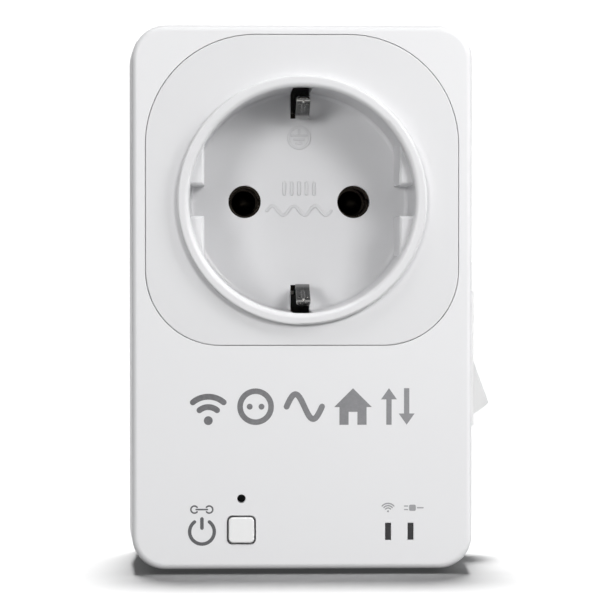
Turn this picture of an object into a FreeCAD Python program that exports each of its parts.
import FreeCAD, Part
import math
import os

# A plug-through mains adapter: a flat upright housing with an earthed round plug on its back
# and an earthed round socket in its front, on one common axis.
#
# Millimetres. +Z is up, +X is to the right of somebody who faces the socket, and the plug's
# pins point along +Y, into the wall. The origin is on the plug's axis, in the plane of the
# housing's rear face, which lies against the wall socket.

V = FreeCAD.Vector

# Housing
HALF_WIDTH = 29.6
TOP_Z = 30.35
BOTTOM_Z = -63.3
CORNER = 6.4
FRONT_Y = -42.0
PARTING_Y = -22.0
SEAM = 0.15
DRAFT_INSET = 0.85
WALL = 2.0
FRONT_EDGE_RADIUS = 1.0
REAR_EDGE_RADIUS = 2.2
SCREW_PLACES = [(-23.2, 24.6), (23.2, 24.6), (-23.2, -57.4), (23.2, -57.4)]
SCREW_HEAD_RADIUS = 2.4
COUNTERBORE_RADIUS = 2.6
SCREW_SEAT_Y = -6.8
BOSS_COLUMN_RADIUS = 2.9
REAR_COLUMN_RADIUS = 3.3
LABEL = dict(x=(-17.0, 17.0), z=(-37.0, -22.5), corner=1.5)
LABEL_DEPTH = 0.3
VENT_COUNT = 7
VENT_PITCH = 4.4

# Socket: sizes shared by every earthed round socket of this kind
PIN_SPACING = 19.0
PIN_X = PIN_SPACING / 2
PLATE_HALF_WIDTH = 26.55
PLATE_Z = (-24.6, 28.05)
PLATE_CORNERS = (12.7, 18.65)
PLATE_GROOVE = 0.09
PLATE_FLANGE = 1.2
PLATE_THICKNESS = 3.0
PLATE_LEDGE = 1.65
RING_FRONT_Y = -43.3
RING_OUTER = 21.1
RECESS_RADIUS = 19.1
FLOOR_Y = -25.8
FLOOR_THICKNESS = 2.0
FLOOR_BACK_Y = FLOOR_Y + FLOOR_THICKNESS
PIN_HOLE_RADIUS = 2.83
GUIDE_X = 16.57
GUIDE_Z = (2.65, 9.75)
GUIDE_FRONT_Y = -40.7
SLOT_X = (-1.5, 1.8)
SLOT_INNER = 14.5
STRAP_Y = (-19.4, -18.6)
STRAP_POST_Z = 7.0

# Plug
PIN_RADIUS = 2.4
PIN_TIP_Y = 36.8
PIN_SHOULDER_Y = -5.4
PIN_ROOT_RADIUS = 2.7
BOSS_RADIUS = 18.45
BOSS_FACE_Y = 17.8
PLUG_FLANGE_RADIUS = 21.5
PLUG_FLANGE_Y = (-4.2, -2.2)
EARTH_HOLE_Z = 10.0
EARTH_HOLE_RADIUS = 2.6
STRIP_Z = (15.6, 16.4)
PLATE_METAL = 0.8
PLUG_BAR_Y = (PIN_SHOULDER_Y - PLATE_METAL, PIN_SHOULDER_Y)
CONTACT_BASE_Y = (-12.4, -11.4)
SOCKET_BAR_Y = (CONTACT_BASE_Y[1], CONTACT_BASE_Y[1] + PLATE_METAL)

# Earth clips, which stand a little to one side of the socket's axis
CLIP_X = (-0.8, 1.6)
CLIP_METAL = 0.5

# Controls on the front
BUTTON_X = -10.3
BUTTON_Z = -55.8
BUTTON_OPENING = 4.9
BUTTON_GAP = 0.28
BUTTON_CORNER = 0.9
BUTTON_FRONT_Y = -42.3
RESET_Z = -50.5
RESET_HOLE_RADIUS = 0.725
LIGHT_X = {"wireless": 14.55, "power": 18.37}
LIGHT_Z = -56.1
LIGHT_WINDOW = (1.0, 2.9)
CONTROL_BOARD_Y = (-34.6, -33.4)
CONTROL_POSTS = [(-18.8, -47.6), (18.8, -47.6), (4.0, -58.2)]
POWER_BOARD_Y = (-8.0, -6.4)
TRANSFORMER_Z = -47.9
POWER_POSTS = [(-23.2, -22.6), (9.4, -22.6), (-23.6, -47.0), (23.4, -47.0)]

# Rocker switch, whose pivot lies along Y
PIVOT_X = 26.0
PIVOT_Y = -12.0
PIVOT_Z = -27.6
ROCKER_RADIUS = 11.25
ROCKER_HALF_WIDTH = 5.25
ROCKER_TILT = 10.0
ROCKER_TIP_ANGLE = 54.6
ROCKER_SKIRT_ANGLE = 73.0
ROCKER_VALLEY = 4.9
LEVER_TILT = 8.0
LEVER_TOP = -5.55
TRUNNION_RADIUS = 1.2
BEZEL_TOP = 5.2


# ---------------------------------------------------------------- shapes

def box(x, y, z):
    """A block between two limits on each axis."""
    return Part.makeBox(x[1] - x[0], y[1] - y[0], z[1] - z[0], V(x[0], y[0], z[0]))


def rod(x, z, radius, y):
    """A cylinder along Y between two depths."""
    return Part.makeCylinder(radius, y[1] - y[0], V(x, y[0], z), V(0, 1, 0))


def rod_x(y, z, radius, x):
    """A cylinder along X."""
    return Part.makeCylinder(radius, x[1] - x[0], V(x[0], y, z), V(1, 0, 0))


def fused(first, *others):
    """One solid out of several that touch or overlap, with no seam faces left."""
    return first.fuse(list(others)).removeSplitter()


def cut(shape, *tools):
    """The shape with every tool taken away."""
    return shape.cut(list(tools))


def mirrored_z(shape):
    """The same shape upside down."""
    return shape.mirror(V(0, 0, 0), V(0, 0, 1))


def mirrored_x(shape):
    """The same shape on the other side of the socket's axis."""
    return shape.mirror(V(0, 0, 0), V(1, 0, 0))


def outline(x, z, corner, y):
    """A closed rounded rectangle across the depth axis.

    The corner radius is one number, or two: the lower corners' and the upper corners'.
    """
    low, high = corner if isinstance(corner, tuple) else (corner, corner)
    low_middle = low * (1 - math.sqrt(0.5))
    high_middle = high * (1 - math.sqrt(0.5))
    (x0, x1), (z0, z1) = x, z
    corners = [
        ((x0, z0 + low), (x0 + low_middle, z0 + low_middle), (x0 + low, z0)),
        ((x1 - low, z0), (x1 - low_middle, z0 + low_middle), (x1, z0 + low)),
        ((x1, z1 - high), (x1 - high_middle, z1 - high_middle), (x1 - high, z1)),
        ((x0 + high, z1), (x0 + high_middle, z1 - high_middle), (x0, z1 - high)),
    ]
    edges = []
    for index, corner_points in enumerate(corners):
        start, middle, end = [V(px, y, pz) for px, pz in corner_points]
        edges.append(Part.Arc(start, middle, end).toShape())
        following = corners[(index + 1) % 4][0]
        edges.append(Part.makeLine(end, V(following[0], y, following[1])))
    return Part.Wire(edges)


def prism(x, z, corner, y):
    """A rounded rectangle drawn out along the depth axis."""
    return Part.Face(outline(x, z, corner, y[0])).extrude(V(0, y[1] - y[0], 0))


def centred(middle, half):
    """The two limits at the same distance from the middle."""
    return (middle - half, middle + half)


def section(inset):
    """The housing's outline at the parting line, drawn in by an inset on every side."""
    x = (-HALF_WIDTH + inset, HALF_WIDTH - inset)
    z = (BOTTOM_Z + inset, TOP_Z - inset)
    return x, z, CORNER - inset


def drafted(near_inset, near_y, far_inset, far_y):
    """A block with the housing's outline, which narrows from one depth to the other."""
    near = outline(*section(near_inset), near_y)
    far = outline(*section(far_inset), far_y)
    return Part.makeLoft([near, far], True, True)


def housing_prism(inset, y):
    """A straight block with the housing's outline."""
    x, z, corner = section(inset)
    return prism(x, z, corner, y)


def plate_outline(inset):
    """The socket plate's outline, drawn in on every side."""
    x = (-PLATE_HALF_WIDTH + inset, PLATE_HALF_WIDTH - inset)
    z = (PLATE_Z[0] + inset, PLATE_Z[1] - inset)
    return x, z, tuple(corner - inset for corner in PLATE_CORNERS)


def edges_at_depth(shape, y):
    """The edges that lie wholly in one plane across the depth axis."""
    return [e for e in shape.Edges if all(abs(v.Y - y) < 1e-4 for v in e.Vertexes)]


def polygon_along_x(points, x):
    """A prism along X whose section is a polygon of (y, z) points."""
    corners = [V(x[0], py, pz) for py, pz in points]
    return Part.Face(Part.makePolygon(corners + corners[:1])).extrude(V(x[1] - x[0], 0, 0))


def screw(x, z, y_head, direction, head, shaft):
    """A cross-head screw along Y. head and shaft are (radius, length)."""
    head_radius, head_length = head
    shaft_radius, shaft_length = shaft
    seat = V(x, y_head, z)
    into = V(0, direction, 0)
    body = Part.makeCylinder(shaft_radius, shaft_length, seat, into)
    cap = Part.makeCylinder(head_radius, head_length, seat, into * -1)
    cap = cap.makeChamfer(head_length * 0.25, edges_at_depth(cap, y_head - direction * head_length))
    outer_y = y_head - direction * head_length
    depth = sorted((outer_y, outer_y + direction * head_length * 0.6))
    slot_length = head_radius * 0.62
    slot_width = head_radius * 0.14
    cross_a = box(centred(x, slot_length), depth, centred(z, slot_width))
    cross_b = box(centred(x, slot_width), depth, centred(z, slot_length))
    return cut(fused(body, cap), cross_a, cross_b)


# ---------------------------------------------------------------- housing

def front_housing():
    """The front half: a drafted tray with the socket's pocket, the controls' holes and bosses."""
    outer = drafted(0, PARTING_Y, DRAFT_INSET, FRONT_Y)
    outer = outer.makeFillet(FRONT_EDGE_RADIUS, edges_at_depth(outer, FRONT_Y))
    inner_y = FRONT_Y + WALL
    inner_inset = WALL + DRAFT_INSET * (PARTING_Y - inner_y) / (PARTING_Y - FRONT_Y)
    shell = cut(outer, drafted(WALL, PARTING_Y, inner_inset, inner_y))

    boss_y = (inner_y - 0.5, PARTING_Y - 0.2)
    bosses = [rod(x, z, BOSS_COLUMN_RADIUS, boss_y) for x, z in SCREW_PLACES]
    posts = [rod(x, z, 2.0, (inner_y - 0.5, CONTROL_BOARD_Y[0])) for x, z in CONTROL_POSTS]
    shell = fused(shell, *bosses, *posts)

    pilots = [rod(x, z, 1.42, (-34.0, PARTING_Y)) for x, z in SCREW_PLACES]
    pilots += [rod(x, z, 0.92, (-38.6, CONTROL_BOARD_Y[0])) for x, z in CONTROL_POSTS]
    rebate_y = (PARTING_Y - 1.4, PARTING_Y)
    rebate = cut(housing_prism(1.05, rebate_y), housing_prism(WALL, rebate_y))
    pocket = prism(*plate_outline(0), (FRONT_Y - 1, FRONT_Y + PLATE_FLANGE + 0.05))
    aperture = prism(*plate_outline(PLATE_LEDGE), (FRONT_Y, inner_y + 1))
    return cut(shell, *pilots, rebate, pocket, aperture, *control_openings())


def control_openings():
    """The holes in the front wall for the push button, the reset pin and the two lights."""
    through = (FRONT_Y - 1, FRONT_Y + WALL + 1)
    half = BUTTON_OPENING / 2
    holes = [prism(centred(BUTTON_X, half), centred(BUTTON_Z, half), BUTTON_CORNER, through)]
    holes.append(rod(BUTTON_X, RESET_Z, RESET_HOLE_RADIUS, through))
    width, height = LIGHT_WINDOW
    for x in LIGHT_X.values():
        holes.append(box(centred(x, width / 2), through, centred(LIGHT_Z, height / 2)))
    return holes


def rear_housing():
    """The rear half: screw columns, board posts, plug hooks, the rocker's opening and vents."""
    start_y = PARTING_Y + SEAM
    outer = drafted(0, start_y, DRAFT_INSET, 0)
    outer = outer.makeFillet(REAR_EDGE_RADIUS, edges_at_depth(outer, 0))
    inner_inset = WALL + DRAFT_INSET * (-WALL - start_y) / -start_y
    shell = cut(outer, drafted(WALL, start_y, inner_inset, -WALL))

    column_y = (start_y, -WALL + 0.5)
    columns = [rod(x, z, REAR_COLUMN_RADIUS, column_y) for x, z in SCREW_PLACES]
    posts = [rod(x, z, 2.2, (POWER_BOARD_Y[1], -WALL + 0.5)) for x, z in POWER_POSTS]
    shell = fused(shell, housing_lip(), *columns, *posts, *plug_hooks())

    tools = [rod(0, 0, BOSS_RADIUS + 0.15, (-WALL - 1, 1))]
    tools += [rod(x, z, 1.7, (start_y - 1, 1)) for x, z in SCREW_PLACES]
    tools += [rod(x, z, COUNTERBORE_RADIUS, (SCREW_SEAT_Y, 1)) for x, z in SCREW_PLACES]
    tools += [rod(x, z, 0.92, (POWER_BOARD_Y[1], -2.6)) for x, z in POWER_POSTS]
    tools.append(prism(LABEL["x"], LABEL["z"], LABEL["corner"], (-LABEL_DEPTH, 1)))
    tools.append(box((24, 33), centred(PIVOT_Y, 7.15), centred(PIVOT_Z, 12.15)))
    tools += vent_slots()
    return cut(shell, *tools)


def housing_lip():
    """The thin tongue that locates the rear half inside the front half."""
    tongue_y = (PARTING_Y - 1.2, PARTING_Y + 1.0)
    return cut(housing_prism(1.2, tongue_y), housing_prism(WALL, tongue_y))


def plug_hooks():
    """Four snap hooks inside the rear wall that hold the plug body's flange."""
    wall_y = (-5.8, -WALL + 0.5)
    catch_y = (-5.8, PLUG_FLANGE_Y[0] - 0.1)
    rail = cut(rod(0, 0, 23.2, wall_y), rod(0, 0, PLUG_FLANGE_RADIUS + 0.2, wall_y))
    catch = cut(rod(0, 0, 23.2, catch_y), rod(0, 0, PLUG_FLANGE_RADIUS - 0.8, catch_y))
    hook_ring = fused(rail, catch)
    hooks = []
    for angle in (15, 135, 225, 315):
        sector = box((18, 26), wall_y, centred(0, 3.5))
        sector.rotate(V(0, 0, 0), V(0, 1, 0), angle)
        hooks.append(hook_ring.common(sector))
    return hooks


def vent_slots():
    """A row of slots through the rear wall below the label."""
    slots = []
    for index in range(VENT_COUNT):
        x = (index - (VENT_COUNT - 1) / 2) * VENT_PITCH
        slots.append(prism(centred(x, 0.9), (-57.0, -43.0), 0.85, (-WALL - 1, 1)))
    return slots


def rating_label():
    """A blank label in its shallow recess on the rear face."""
    x = (LABEL["x"][0] + 0.3, LABEL["x"][1] - 0.3)
    z = (LABEL["z"][0] + 0.3, LABEL["z"][1] - 0.3)
    return prism(x, z, LABEL["corner"] - 0.3, (-LABEL_DEPTH, -LABEL_DEPTH + 0.12))


def housing_screws():
    """Four long screws from the rear face into the front half's bosses."""
    head = (SCREW_HEAD_RADIUS, 1.8)
    shaft = (1.4, 26.0)
    return Part.makeCompound([screw(x, z, SCREW_SEAT_Y, -1, head, shaft) for x, z in SCREW_PLACES])


# ---------------------------------------------------------------- socket

def ring_and_cup():
    """The raised ring, the recess wall and the floor, turned about the socket's axis."""
    diagonal = 1 - math.sqrt(0.5)
    inner_lip = 0.85
    outer_lip = 0.4
    crown = V(RECESS_RADIUS + inner_lip, RING_FRONT_Y, 0)
    inner_start = V(RECESS_RADIUS, RING_FRONT_Y + inner_lip, 0)
    inner_middle = V(RECESS_RADIUS + inner_lip * diagonal, RING_FRONT_Y + inner_lip * diagonal, 0)
    outer_top = V(RING_OUTER - outer_lip, RING_FRONT_Y, 0)
    outer_end = V(RING_OUTER, RING_FRONT_Y + outer_lip, 0)
    outer_middle = V(RING_OUTER - outer_lip * diagonal, RING_FRONT_Y + outer_lip * diagonal, 0)
    corner = 0.8
    wall_foot = V(RECESS_RADIUS, FLOOR_Y - corner, 0)
    floor_edge = V(RECESS_RADIUS - corner, FLOOR_Y, 0)
    foot_middle = V(RECESS_RADIUS - corner * diagonal, FLOOR_Y - corner * diagonal, 0)
    edges = [
        Part.makeLine(V(0, FLOOR_Y, 0), floor_edge),
        Part.Arc(floor_edge, foot_middle, wall_foot).toShape(),
        Part.makeLine(wall_foot, inner_start),
        Part.Arc(inner_start, inner_middle, crown).toShape(),
        Part.makeLine(crown, outer_top),
        Part.Arc(outer_top, outer_middle, outer_end).toShape(),
        Part.makeLine(outer_end, V(RING_OUTER, FLOOR_BACK_Y, 0)),
        Part.makeLine(V(RING_OUTER, FLOOR_BACK_Y, 0), V(0, FLOOR_BACK_Y, 0)),
        Part.makeLine(V(0, FLOOR_BACK_Y, 0), V(0, FLOOR_Y, 0)),
    ]
    return Part.Face(Part.Wire(edges)).revolve(V(0, 0, 0), V(0, 1, 0), 360)


def guide_block():
    """One of the four guide blocks that a plug's flats run between."""
    block = box((GUIDE_X, 20.5), (GUIDE_FRONT_Y, FLOOR_Y + 0.5), GUIDE_Z)
    lead_edges = edges_at_depth(block, GUIDE_FRONT_Y)
    block = block.makeChamfer(0.4, lead_edges)
    return block.common(rod(0, 0, RECESS_RADIUS + 0.6, (GUIDE_FRONT_Y, FLOOR_Y + 0.5)))


def plate_hooks():
    """Four snap hooks behind the plate that catch the housing's front wall."""
    x, z, _ = plate_outline(PLATE_LEDGE)
    reach = 1.0
    back_y = FRONT_Y + PLATE_THICKNESS
    root_y = (back_y - 0.6, back_y + 1.2)
    catch_y = (FRONT_Y + WALL + 0.1, back_y + 1.2)
    middle_z = (z[0] + z[1]) / 2
    side_root = box((x[1] - 1.5, x[1] - 0.15), root_y, centred(middle_z, 4.0))
    side_catch = box((x[1] - 0.4, x[1] + reach), catch_y, centred(middle_z, 4.0))
    side = fused(side_root, side_catch)
    hooks = [side, mirrored_x(side)]
    for edge, outward in ((z[1], 1), (z[0], -1)):
        root_z = sorted((edge - outward * 1.5, edge - outward * 0.15))
        catch_z = sorted((edge - outward * 0.4, edge + outward * reach))
        hooks.append(fused(box((-4, 4), root_y, root_z), box((-4, 4), catch_y, catch_z)))
    return hooks


def earth_slot():
    """The slot in the floor and wall that the top earth clip stands in."""
    through = box(SLOT_X, (FRONT_Y + PLATE_THICKNESS, FLOOR_BACK_Y + 1),
                  (SLOT_INNER, RING_OUTER + 0.5))
    blind = box(SLOT_X, (RING_FRONT_Y + 1.9, FRONT_Y + PLATE_THICKNESS),
                (SLOT_INNER, RING_OUTER - 0.5))
    return fused(through, blind)


def socket_insert():
    """The socket: plate, ring, recess, guide blocks, contact chambers and strap posts."""
    back_y = FRONT_Y + PLATE_THICKNESS
    flange = prism(*plate_outline(PLATE_GROOVE), (FRONT_Y, FRONT_Y + PLATE_FLANGE))
    flange = flange.makeFillet(0.12, edges_at_depth(flange, FRONT_Y))
    step = prism(*plate_outline(PLATE_LEDGE + 0.15), (FRONT_Y + PLATE_FLANGE - 0.2, back_y))
    chambers = [rod(sign * PIN_X, 0, 4.6, (FLOOR_BACK_Y - 0.5, -13.5)) for sign in (-1, 1)]
    posts = [rod(0, sign * STRAP_POST_Z, 2.4, (FLOOR_BACK_Y - 0.5, STRAP_Y[0])) for sign in (-1, 1)]
    body = fused(flange, step, *chambers, *posts, *plate_hooks())
    body = cut(body, rod(0, 0, RING_OUTER - 0.5, (FRONT_Y - 1, back_y + 1)))
    body = fused(body, ring_and_cup())

    block = guide_block()
    pair = [block, mirrored_z(block)]
    body = fused(body, *pair, *[mirrored_x(b) for b in pair])

    tools = [rod(sign * PIN_X, 0, PIN_HOLE_RADIUS, (FLOOR_Y - 1, FLOOR_BACK_Y)) for sign in (-1, 1)]
    tools += [rod(sign * PIN_X, 0, 3.6, (FLOOR_BACK_Y, -13)) for sign in (-1, 1)]
    tools += [rod(0, sign * STRAP_POST_Z, 0.92, (-23.2, STRAP_Y[0])) for sign in (-1, 1)]
    tools += [earth_slot(), mirrored_z(earth_slot())]
    return cut(body, *tools)


def socket_contact():
    """One pin contact: a split tube that narrows to grip a pin, on a base with a domed rivet."""
    outer = rod(PIN_X, 0, 3.15, (-23.4, CONTACT_BASE_Y[0]))
    bore = rod(PIN_X, 0, 2.55, (-23.4, CONTACT_BASE_Y[0]))
    tube = cut(outer, bore)
    waist = cut(rod(PIN_X, 0, 2.6, (-21.6, -20.2)), rod(PIN_X, 0, 2.44, (-21.6, -20.2)))
    slit = box((PIN_X - 4, PIN_X + 4), (-24, CONTACT_BASE_Y[0] - 1.5), (-0.5, 0.5))
    sleeve = cut(fused(tube, waist), slit)
    base = rod(PIN_X, 0, 3.15, CONTACT_BASE_Y)
    tail = rod(PIN_X, 0, 1.2, (CONTACT_BASE_Y[1], SOCKET_BAR_Y[1]))
    head = rod(PIN_X, 0, 1.9, (SOCKET_BAR_Y[1], SOCKET_BAR_Y[1] + 0.6))
    dome = Part.makeSphere(2.3, V(PIN_X, CONTACT_BASE_Y[0] + 0.9, 0))
    dome = dome.common(rod(PIN_X, 0, 2.5, (CONTACT_BASE_Y[0] - 3, CONTACT_BASE_Y[0] + 0.1)))
    return fused(sleeve, base, tail, head, dome)


def earth_strap():
    """The flat bar behind the recess that joins the two earth clips."""
    bar = prism((-3.0, 3.0), (-15.6, 15.6), 1.0, STRAP_Y)
    holes = [rod(0, sign * STRAP_POST_Z, 1.15, STRAP_Y) for sign in (-1, 1)]
    return cut(bar, *holes)


def strap_screws():
    """Two small screws that hold the earth strap on its posts."""
    places = [sign * STRAP_POST_Z for sign in (-1, 1)]
    return Part.makeCompound([screw(0, z, STRAP_Y[1], -1, (2.0, 1.2), (0.9, 4.2)) for z in places])


def earth_clip():
    """The top earth clip: a sprung strip that leans in, bends out again and ends at the wall.

    A pressed bead stiffens its outer end, and two small dimples stand beside it.
    """
    root = (-18.6, 15.8)
    apex = (-30.4, 14.25)
    tip = (-37.9, 17.45)
    metal = CLIP_METAL
    outer_apex = (-30.25, 14.25 + metal * 1.18)
    points = [root, apex, tip, (tip[0] + metal * 0.45, tip[1] + metal * 0.9), outer_apex,
              (root[0], root[1] + metal)]
    strip = polygon_along_x(points, CLIP_X)
    width = CLIP_X[1] - CLIP_X[0]
    bends = [e for e in strip.Edges if abs(e.Vertexes[0].Y - e.Vertexes[-1].Y) < 1e-6
             and abs(e.Vertexes[0].Y - apex[0]) < 0.3 and e.Length > width - 0.1]
    strip = strip.makeFillet(1.3, bends)
    ends = [e for e in strip.Edges if e.Length < metal * 1.2
            and all(v.Y < tip[0] + metal for v in e.Vertexes)]
    strip = strip.makeFillet(1.0, ends)

    middle = (CLIP_X[0] + CLIP_X[1]) / 2
    slope = (tip[1] - apex[1]) / (tip[0] - apex[0])

    def on_face(y):
        return apex[1] + slope * (y - apex[0])

    start, stop = -36.6, -33.4
    bead = Part.makeCylinder(0.3, math.hypot(stop - start, on_face(stop) - on_face(start)),
                             V(middle, start, on_face(start)),
                             V(0, stop - start, on_face(stop) - on_face(start)))
    bead_ends = [Part.makeSphere(0.3, V(middle, y, on_face(y))) for y in (start, stop)]
    dimples = [Part.makeSphere(0.28, V(middle + dx, -35.6, on_face(-35.6) + 0.06))
               for dx in (-0.7, 0.7)]
    return fused(strip, bead, *bead_ends, *dimples)


# ---------------------------------------------------------------- plug

def plug_body():
    """The insulating body of the plug, with its flats, earth notches and holes."""
    boss = rod(0, 0, BOSS_RADIUS, (PLUG_FLANGE_Y[1] - 0.5, BOSS_FACE_Y))
    boss = boss.makeFillet(1.2, edges_at_depth(boss, BOSS_FACE_Y))
    body = fused(boss, rod(0, 0, PLUG_FLANGE_RADIUS, PLUG_FLANGE_Y))
    tools = [rod(sign * PIN_X, 0, PIN_ROOT_RADIUS, (-6, BOSS_FACE_Y + 1)) for sign in (-1, 1)]
    tools.append(rod(0, EARTH_HOLE_Z, EARTH_HOLE_RADIUS, (0, BOSS_FACE_Y + 1)))
    tools.append(rod(0, EARTH_HOLE_Z, 3.5, (-6, 15.8)))
    for side in (-1, 1):
        for half in (-1, 1):
            x = sorted((side * 16.2, side * 20))
            z = sorted((half * 2.3, half * 10.3))
            tools.append(box(x, (1.5, BOSS_FACE_Y + 1), z))
        notch_z = sorted((side * STRIP_Z[0], side * 20))
        slot_z = sorted((side * STRIP_Z[0], side * (STRIP_Z[1] + 0.05)))
        tools.append(box((-3.2, 3.2), (0, BOSS_FACE_Y + 1), notch_z))
        tools.append(box((-2.55, 2.55), (-6, 1), slot_z))
    return cut(body, *tools)


def plug_pin():
    """A round pin with a domed end, a thicker root in the body and a riveted tail."""
    shaft = rod(PIN_X, 0, PIN_RADIUS, (BOSS_FACE_Y, PIN_TIP_Y))
    shaft = shaft.makeFillet(1.5, edges_at_depth(shaft, PIN_TIP_Y))
    root = rod(PIN_X, 0, PIN_ROOT_RADIUS, (PIN_SHOULDER_Y, BOSS_FACE_Y))
    tail = rod(PIN_X, 0, 1.5, PLUG_BAR_Y)
    head = rod(PIN_X, 0, 2.2, (PLUG_BAR_Y[0] - 0.7, PLUG_BAR_Y[0]))
    return fused(shaft, root, tail, head)


def plug_earth_strip():
    """The top earth strip, which lies in the plug's notch and runs back into the housing."""
    strip = box((-2.5, 2.5), (-6.6, 17.0), STRIP_Z)
    long_edges = [e for e in strip.Edges if e.Length > 20 and e.Vertexes[0].Z > STRIP_Z[0] + 0.1]
    strip = strip.makeFillet(0.3, long_edges)
    tip = [e for e in strip.Edges if all(abs(v.Y - 17.0) < 1e-6 and v.Z > STRIP_Z[1] - 0.01
                                         for v in e.Vertexes)]
    return strip.makeChamfer(0.25, tip)


def earth_pin_socket():
    """The tube behind the plug's earth hole, with a flange at its closed end."""
    tube = rod(0, EARTH_HOLE_Z, 3.5, (PLUG_FLANGE_Y[0], 15.8))
    flange = rod(0, EARTH_HOLE_Z, 4.4, (PLUG_FLANGE_Y[0] - 0.8, PLUG_FLANGE_Y[0]))
    return cut(fused(tube, flange), rod(0, EARTH_HOLE_Z, EARTH_HOLE_RADIUS, (-3.4, 16)))


# ---------------------------------------------------------------- bars and links

def earth_link(sign):
    """A bent strip from the earth strap to the plug's earth, above or below the axis."""
    plug_end_y = (-5.8, -5.0)
    strap_end_y = (STRAP_Y[1], STRAP_Y[1] + PLATE_METAL)
    leg_z = sorted((sign * 12.2, sign * 13.0))
    foot_z = sorted((sign * 7.2, sign * 15.5)) if sign > 0 else (-15.5, -12.2)
    leg = box((-2.4, 2.4), (strap_end_y[0], plug_end_y[1]), leg_z)
    foot = box((-3.0, 3.0), plug_end_y, foot_z)
    toe = box((-2.4, 2.4), strap_end_y, sorted((sign * 12.2, sign * 15.4)))
    return fused(leg, foot, toe)


def neutral_busbar():
    """The C-shaped bar from the left plug pin to the left contact, with a tab to the board."""
    x = centred(-PIN_X, 3.0)
    plug_plate = box(x, PLUG_BAR_Y, (-8.8, 3.2))
    socket_plate = box(x, SOCKET_BAR_Y, (-8.8, 3.2))
    web = box(x, (SOCKET_BAR_Y[0], PLUG_BAR_Y[1]), (-8.8, -8.0))
    tab = box(centred(-PIN_X, 1.5), PLUG_BAR_Y, (-21.5, -8.8))
    foot = box(centred(-PIN_X, 1.0), (-9.0, PLUG_BAR_Y[1]), (-21.5, -20.7))
    bar = fused(plug_plate, socket_plate, web, tab, foot)
    return cut(bar, rod(-PIN_X, 0, 1.5, PLUG_BAR_Y), rod(-PIN_X, 0, 1.2, SOCKET_BAR_Y))


def live_busbar_in():
    """The bar from the right plug pin down to the rocker switch's common terminal."""
    plate = box(centred(PIN_X, 3.0), PLUG_BAR_Y, (-3.2, 3.2))
    leg = box(centred(PIN_X, 2.0), PLUG_BAR_Y, (-18.2, -3.2))
    web = box(centred(PIN_X, 2.0), (-13.2, PLUG_BAR_Y[1]), (-18.2, -17.4))
    drop = box((9.4, 12.8), (-13.2, -12.4), (-30.0, -17.4))
    return cut(fused(plate, leg, web, drop), rod(PIN_X, 0, 1.5, PLUG_BAR_Y))


def live_busbar_out():
    """The bar from the relay's side of the board up to the right contact."""
    plate = box((3.4, PIN_X + 3.0), SOCKET_BAR_Y, (-3.2, 3.2))
    arm = box((3.4, 6.2), SOCKET_BAR_Y, (-22.8, -3.2))
    foot = box((3.8, 5.8), (SOCKET_BAR_Y[0], -5.8), (-22.8, -22.0))
    return cut(fused(plate, arm, foot), rod(PIN_X, 0, 1.2, SOCKET_BAR_Y))


# ---------------------------------------------------------------- power board

def power_board():
    """The lower circuit board, cut away beside the rocker switch and the screw columns."""
    upper = box((-26.0, 12.4), POWER_BOARD_Y, (-42.8, -19.6))
    middle = box((-26.0, 26.0), POWER_BOARD_Y, (-53.8, -42.8))
    lower = box((-19.4, 19.4), POWER_BOARD_Y, (-60.2, -53.8))
    tools = [rod(x, z, 1.15, POWER_BOARD_Y) for x, z in POWER_POSTS]
    tools.append(box(centred(-PIN_X, 1.1), POWER_BOARD_Y, (-21.6, -20.6)))
    tools.append(box((3.7, 5.9), POWER_BOARD_Y, (-22.9, -21.9)))
    return cut(fused(upper, middle, lower), *tools)


def power_board_screws():
    """Four small screws that hold the power board on the rear half's posts."""
    return Part.makeCompound([
        screw(x, z, POWER_BOARD_Y[0], 1, (2.0, 1.2), (0.9, 5.0)) for x, z in POWER_POSTS])


def on_board(x, z, height):
    """A component's block that stands on the power board."""
    return box(x, (POWER_BOARD_Y[0] - height, POWER_BOARD_Y[0]), z)


def relay():
    """The relay's sealed case."""
    case = on_board((-25.0, 4.0), (-38.0, -25.3), 15.7)
    vertical = [e for e in case.Edges if abs(e.Length - 15.7) < 1e-6]
    return case.makeFillet(0.8, vertical)


def transformer_core():
    """The transformer's ferrite core: two E halves around the winding."""
    core = on_board((-21.0, -8.6), centred(TRANSFORMER_Z, 6.7), 13.5)
    window = (-22.0, -7.6)
    upper = box(window, (-18.9, -10.6), (TRANSFORMER_Z + 2.7, TRANSFORMER_Z + 4.7))
    lower = box(window, (-18.9, -10.6), (TRANSFORMER_Z - 4.7, TRANSFORMER_Z - 2.7))
    return cut(core, upper, lower)


def transformer_winding():
    """The taped winding, which fills the core's two windows and stands out on both sides."""
    block = prism((-22.6, -7.0), centred(TRANSFORMER_Z, 4.6), 2.0, (-18.8, -10.7))
    leg = box((-21.1, -8.5), (-19.5, -10.0), centred(TRANSFORMER_Z, 2.8))
    return cut(block, leg)


def capacitor(x, z, radius, height):
    """An upright electrolytic capacitor: a sleeved can with a rolled groove near its foot."""
    can = rod(x, z, radius, (POWER_BOARD_Y[0] - height, POWER_BOARD_Y[0]))
    can = can.makeFillet(radius * 0.12, edges_at_depth(can, POWER_BOARD_Y[0] - height))
    groove_y = centred(POWER_BOARD_Y[0] - 1.8, 0.35)
    groove = cut(rod(x, z, radius + 1, groove_y), rod(x, z, radius - 0.3, groove_y))
    return cut(can, groove)


def varistor():
    """A disc varistor standing on edge."""
    disc = rod_x(-13.4, -37.0, 4.6, (6.2, 9.4))
    return disc.makeFillet(0.9, [e for e in disc.Edges if e.Length > 20])


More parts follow.
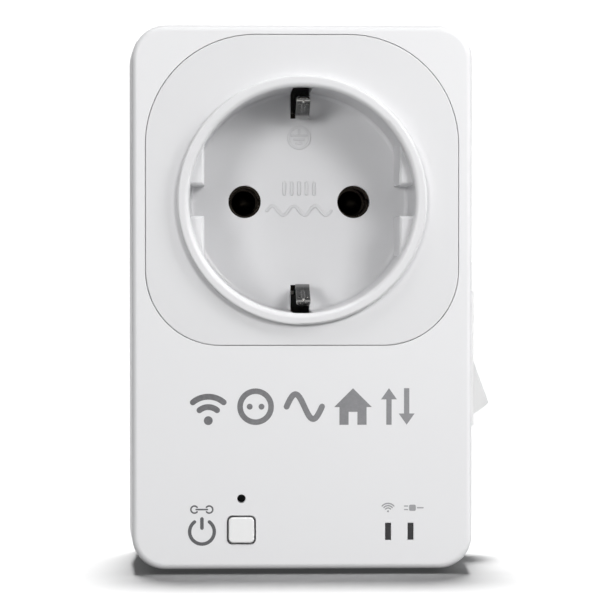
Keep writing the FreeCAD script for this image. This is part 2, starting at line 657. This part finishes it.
def fuse_resistor():
    """A small fusible resistor lying on the board."""
    barrel = rod_x(POWER_BOARD_Y[0] - 2.0, -44.6, 1.7, (7.0, 15.0))
    lead = rod_x(POWER_BOARD_Y[0] - 2.0, -44.6, 0.35, (5.2, 16.8))
    legs = [rod(x, -44.6, 0.35, (POWER_BOARD_Y[0] - 2.0, POWER_BOARD_Y[0])) for x in (5.2, 16.8)]
    return fused(barrel, lead, *legs)


def choke():
    """A drum choke: a winding between two round flanges."""
    foot = POWER_BOARD_Y[0]
    drum = rod(8.4, -57.6, 1.9, (foot - 7.0, foot))
    flanges = [rod(8.4, -57.6, 2.5, (foot - 7.0 + y, foot - 6.1 + y)) for y in (0, 6.1)]
    return fused(drum, *flanges)


def line_coupling_transformer():
    """The small transformer that couples the data signal to the mains."""
    body = on_board((-18.0, -11.6), (-24.6, -19.9), 5.4)
    rim = box((-18.4, -11.2), (POWER_BOARD_Y[0] - 1.2, POWER_BOARD_Y[0]), (-24.9, -19.7))
    return fused(body, rim)


# ---------------------------------------------------------------- control board

def control_board():
    """The upper circuit board behind the front wall, with the switches and lights."""
    plate = box((-21.5, 21.5), CONTROL_BOARD_Y, (-60.2, -45.4))
    holes = [rod(x, z, 1.15, CONTROL_BOARD_Y) for x, z in CONTROL_POSTS]
    holes += [rod(x, z, BOSS_COLUMN_RADIUS + 0.3, CONTROL_BOARD_Y) for x, z in SCREW_PLACES[2:]]
    return cut(plate, *holes)


def control_board_screws():
    """Three small screws that hold the control board on the front half's posts."""
    return Part.makeCompound([
        screw(x, z, CONTROL_BOARD_Y[1], -1, (2.0, 1.2), (0.9, 4.6)) for x, z in CONTROL_POSTS])


def tact_switch_body(z, half, bore):
    """The square case of a push switch, open in front for its plunger."""
    foot_y = CONTROL_BOARD_Y[0]
    top_y = foot_y - 2.2
    case = box(centred(BUTTON_X, half), (top_y, foot_y), centred(z, half))
    legs = []
    for side in (-1, 1):
        for end in (-1, 1):
            leg_x = centred(BUTTON_X + side * (half + 0.3), 0.3)
            legs.append(box(leg_x, (foot_y - 0.6, foot_y), centred(z + end * half * 0.5, 0.35)))
    well = rod(BUTTON_X, z, bore, (top_y, foot_y - 0.7))
    return cut(fused(case, *legs), well)


def tact_plunger(z, radius):
    """The plunger of a push switch, which runs in its case."""
    return rod(BUTTON_X, z, radius, (-37.9, -36.2))


def shield_can():
    """The pressed cover over the radio, open towards the board."""
    x, z = (-3.2, 11.0), (-55.6, -46.4)
    can = prism(x, z, 0.6, (-37.2, CONTROL_BOARD_Y[0]))
    inside = box((x[0] + 0.3, x[1] - 0.3), (-36.9, CONTROL_BOARD_Y[0]), (z[0] + 0.3, z[1] - 0.3))
    vents = [rod(3.9 + dx, -51.0 + dz, 0.6, (-38, -36)) for dx in (-4, 0, 4) for dz in (-2, 2)]
    return cut(can, inside, *vents)


def board_chips():
    """Three packaged circuits: two on the control board's back and one on the power board."""
    control = [(-4.0, 3.0, -53.5, -46.5), (7.0, 12.0, -52.0, -48.0)]
    chips = [box((x0, x1), (CONTROL_BOARD_Y[1], CONTROL_BOARD_Y[1] + 1.1), (z0, z1))
             for x0, x1, z0, z1 in control]
    chips.append(on_board((-7.0, -2.0), (-24.4, -20.4), 1.6))
    return Part.makeCompound([c.makeChamfer(0.15, c.Edges) for c in chips])


def indicator_leds():
    """The two surface-mount lights behind the light pipes."""
    chips = []
    for x in LIGHT_X.values():
        y = (CONTROL_BOARD_Y[0] - 0.9, CONTROL_BOARD_Y[0])
        chips.append(box(centred(x, 0.8), y, centred(LIGHT_Z, 1.0)))
    return Part.makeCompound(chips)


def light_pipe(x):
    """A tinted bar in a window of the front wall, with a stop collar behind it."""
    width, height = LIGHT_WINDOW
    gap = 0.04
    bar = box(centred(x, width / 2 - gap), (-41.96, -36.4), centred(LIGHT_Z, height / 2 - gap))
    collar = box(centred(x, width / 2 + 0.5), (-39.95, -39.2), centred(LIGHT_Z, height / 2 + 0.6))
    return fused(bar, collar)


def board_header():
    """The long pin header that joins the two boards."""
    z = -58.6
    places = [-17.4 + 2.0 * index for index in range(5)]
    pin_y = (CONTROL_BOARD_Y[1], POWER_BOARD_Y[0])
    pins = [box(centred(x, 0.32), pin_y, centred(z, 0.32)) for x in places]
    bar = box((-18.6, -8.2), (-33.3, -30.8), centred(z, 1.1))
    return fused(bar, *pins)


def antenna():
    """A bent strip antenna that stands on the control board beside the shield can."""
    mast = box((13.4, 13.8), (-38.6, CONTROL_BOARD_Y[0]), (-52.6, -49.6))
    arm = box((13.4, 16.4), (-38.6, -38.2), (-52.6, -46.6))
    return fused(mast, arm)


# ---------------------------------------------------------------- controls

def pair_button():
    """The square push button: cap, stop collar and stem."""
    half = BUTTON_OPENING / 2 - BUTTON_GAP
    cap = prism(centred(BUTTON_X, half), centred(BUTTON_Z, half), BUTTON_CORNER - 0.15,
                (BUTTON_FRONT_Y, -39.0))
    cap = cap.makeFillet(0.25, edges_at_depth(cap, BUTTON_FRONT_Y))
    collar = prism(centred(BUTTON_X, 3.2), centred(BUTTON_Z, 3.2), 1.0, (-39.8, -38.7))
    stem = rod(BUTTON_X, BUTTON_Z, 1.2, (-38.8, -38.0))
    return fused(cap, collar, stem)


def about_pivot(shape, angle):
    """The shape turned about the rocker's pivot line."""
    shape.rotate(V(PIVOT_X, PIVOT_Y, PIVOT_Z), V(0, 1, 0), angle)
    return shape


def pivot_box(x, y, z):
    """A block given from the rocker's pivot."""
    return box([PIVOT_X + v for v in x], [PIVOT_Y + v for v in y], [PIVOT_Z + v for v in z])


def rocker_profile():
    """The rocker's side view in its level position, as a closed face across the pivot."""
    y = PIVOT_Y - ROCKER_HALF_WIDTH

    def at(x, z):
        return V(PIVOT_X + x, y, PIVOT_Z + z)

    def on_arc(angle):
        turn = math.radians(angle)
        return at(ROCKER_RADIUS * math.cos(turn), ROCKER_RADIUS * math.sin(turn))

    between = (ROCKER_TIP_ANGLE + ROCKER_SKIRT_ANGLE) / 2
    valley = at(ROCKER_VALLEY, 0)
    lower = [on_arc(-ROCKER_TIP_ANGLE), on_arc(-between), on_arc(-ROCKER_SKIRT_ANGLE)]
    upper = [on_arc(ROCKER_SKIRT_ANGLE), on_arc(between), on_arc(ROCKER_TIP_ANGLE)]
    under = [lower[2], at(2.0, -9.4), at(1.2, -2.8), at(1.2, 2.8), at(2.0, 9.4), upper[0]]
    edges = [Part.makeLine(valley, lower[0]), Part.Arc(*lower).toShape()]
    edges += [Part.makeLine(a, b) for a, b in zip(under, under[1:])]
    edges += [Part.Arc(*upper).toShape(), Part.makeLine(upper[2], valley)]
    return Part.Face(Part.Wire(edges))


def rocker():
    """The rocker: V-shaped face, round ends, trunnions and a stem with a spring bore."""
    wedge = rocker_profile().extrude(V(0, 2 * ROCKER_HALF_WIDTH, 0))
    tip_x = PIVOT_X + ROCKER_RADIUS * math.cos(math.radians(ROCKER_TIP_ANGLE))
    tips = [e for e in wedge.Edges if all(abs(v.X - tip_x) < 1e-4 for v in e.Vertexes)]
    wedge = wedge.makeFillet(0.4, tips)
    hub = rod(PIVOT_X, PIVOT_Z, 2.7, centred(PIVOT_Y, ROCKER_HALF_WIDTH))
    trunnion = rod(PIVOT_X, PIVOT_Z, TRUNNION_RADIUS, centred(PIVOT_Y, 6.3))
    stem = pivot_box((-3.6, 1.5), (-2.3, 2.3), (-2.1, 2.1))
    bore = rod_x(PIVOT_Y, PIVOT_Z, 1.3, (PIVOT_X - 3.7, PIVOT_X + 1.0))
    return about_pivot(cut(fused(wedge, hub, trunnion, stem), bore), -ROCKER_TILT)


def rocker_plunger():
    """The round-nosed plunger in the rocker's stem that tips the contact lever."""
    pin = rod_x(PIVOT_Y, PIVOT_Z, 1.25, (PIVOT_X - 5.4, PIVOT_X - 1.6))
    nose = [e for e in pin.Edges if e.Length > 5 and e.BoundBox.XMax < PIVOT_X - 5.3]
    return about_pivot(pin.makeFillet(1.1, nose), -ROCKER_TILT)


def rocker_spring():
    """The coil spring behind the plunger."""
    pitch, height, radius, wire = 0.6, 2.0, 0.9, 0.14
    helix = Part.makeHelix(pitch, height, radius)
    start = V(radius, 0, 0)
    circle = Part.Wire(Part.makeCircle(wire, start, V(0, 1, pitch / (2 * math.pi * radius))))
    coil = Part.Wire(helix).makePipeShell([circle], True, True)
    coil.rotate(V(0, 0, 0), V(0, 1, 0), 90)
    coil.translate(V(PIVOT_X - 1.4, PIVOT_Y, PIVOT_Z))
    return about_pivot(coil, -ROCKER_TILT)


def rocker_housing():
    """The switch's case: a raised bezel through the wall, an inner flange and a deep tub."""
    bezel = pivot_box((0.5, BEZEL_TOP), (-7.0, 7.0), (-12.0, 12.0))
    rim = [e for e in bezel.Edges if all(v.X > PIVOT_X + BEZEL_TOP - 0.01 for v in e.Vertexes)]
    bezel = bezel.makeFillet(0.5, rim)
    flange = pivot_box((-0.8, 0.7), (-8.0, 8.0), (-13.4, 13.4))
    tub = pivot_box((-10.2, -0.5), (-6.9, 6.9), (-11.4, 11.4))
    case = fused(bezel, flange, tub)

    sweep = rod(PIVOT_X, PIVOT_Z, ROCKER_RADIUS + 0.2, centred(PIVOT_Y, 5.5))
    mouth = sweep.common(pivot_box((0, 8), (-6, 6), (-12, 12)))
    well = pivot_box((-8.6, 0.1), (-5.5, 5.5), (-10.2, 10.2))
    bearing = rod(PIVOT_X, PIVOT_Z, TRUNNION_RADIUS + 0.05, centred(PIVOT_Y, 6.45))
    common_slot = pivot_box((-11, -8), (-0.45, 0.45), (-2.05, 2.05))
    switched_slot = pivot_box((-11, -8), (-0.45, 0.45), (-8.05, -3.95))
    return cut(case, mouth, well, bearing, common_slot, switched_slot)


def rocker_contact_lever():
    """The see-saw contact, whose round knuckle tips on the common terminal."""
    plate = pivot_box((LEVER_TOP - 0.8, LEVER_TOP), (-2.0, 2.0), (-6.4, 6.4))
    underside_x = PIVOT_X + LEVER_TOP - 0.8
    contact = rod_x(PIVOT_Y, PIVOT_Z - 5.2, 1.2, (underside_x - 0.3, underside_x + 0.2))
    knuckle = rod(underside_x, PIVOT_Z, 0.28, centred(PIVOT_Y, 2.0))
    lever = fused(plate, contact, knuckle)
    lever.rotate(V(underside_x, PIVOT_Y, PIVOT_Z), V(0, 1, 0), LEVER_TILT)
    return lever


def rocker_terminal_common():
    """The middle blade, whose upper edge carries the contact lever."""
    return pivot_box((-14.5, LEVER_TOP - 1.1), (-0.4, 0.4), (-2.0, 2.0))


def rocker_terminal_switched():
    """The lower blade with its fixed contact."""
    blade = pivot_box((-14.5, -8.0), (-0.4, 0.4), (-8.0, -4.0))
    contact = rod_x(PIVOT_Y, PIVOT_Z - 5.6, 1.3, (PIVOT_X - 8.6, PIVOT_X - 7.9))
    return fused(blade, contact)


# ---------------------------------------------------------------- all parts

def all_parts():
    """Every sub-part by its name."""
    contact = socket_contact()
    pin = plug_pin()
    strip = plug_earth_strip()
    clip = earth_clip()
    return {
        "front_housing": front_housing(),
        "rear_housing": rear_housing(),
        "rating_label": rating_label(),
        "housing_screws": housing_screws(),
        "socket_insert": socket_insert(),
        "socket_contact_left": mirrored_x(contact),
        "socket_contact_right": contact,
        "earth_strap": earth_strap(),
        "strap_screws": strap_screws(),
        "earth_clip_top": clip,
        "earth_clip_bottom": mirrored_z(clip),
        "plug_body": plug_body(),
        "plug_pin_left": mirrored_x(pin),
        "plug_pin_right": pin,
        "plug_earth_strip_top": strip,
        "plug_earth_strip_bottom": mirrored_z(strip),
        "earth_pin_socket": earth_pin_socket(),
        "earth_link_top": earth_link(1),
        "earth_link_bottom": earth_link(-1),
        "neutral_busbar": neutral_busbar(),
        "live_busbar_in": live_busbar_in(),
        "live_busbar_out": live_busbar_out(),
        "power_board": power_board(),
        "power_board_screws": power_board_screws(),
        "relay": relay(),
        "transformer_core": transformer_core(),
        "transformer_winding": transformer_winding(),
        "bulk_capacitors": Part.makeCompound([capacitor(-2.4, z, 4.2, 16.0) for z in (-46.0, -55.6)]),
        "suppression_capacitor": on_board((4.0, 20.6), (-54.2, -46.5), 14.0),
        "varistor": varistor(),
        "fuse_resistor": fuse_resistor(),
        "choke": choke(),
        "output_capacitor": capacitor(14.6, -57.6, 2.5, 11.0),
        "line_coupling_transformer": line_coupling_transformer(),
        "control_board": control_board(),
        "control_board_screws": control_board_screws(),
        "shield_can": shield_can(),
        "board_chips": board_chips(),
        "pair_switch_body": tact_switch_body(BUTTON_Z, 3.0, 1.5),
        "pair_switch_plunger": tact_plunger(BUTTON_Z, 1.45),
        "reset_switch_body": tact_switch_body(RESET_Z, 2.0, 1.05),
        "reset_switch_plunger": tact_plunger(RESET_Z, 1.0),
        "indicator_leds": indicator_leds(),
        "light_pipe_wireless": light_pipe(LIGHT_X["wireless"]),
        "light_pipe_power": light_pipe(LIGHT_X["power"]),
        "board_header": board_header(),
        "antenna": antenna(),
        "pair_button": pair_button(),
        "rocker": rocker(),
        "rocker_housing": rocker_housing(),
        "rocker_plunger": rocker_plunger(),
        "rocker_spring": rocker_spring(),
        "rocker_contact_lever": rocker_contact_lever(),
        "rocker_terminal_common": rocker_terminal_common(),
        "rocker_terminal_switched": rocker_terminal_switched(),
    }


os.makedirs("parts", exist_ok=True)
for name, shape in all_parts().items():
    shape.exportStep("parts/" + name + ".step")
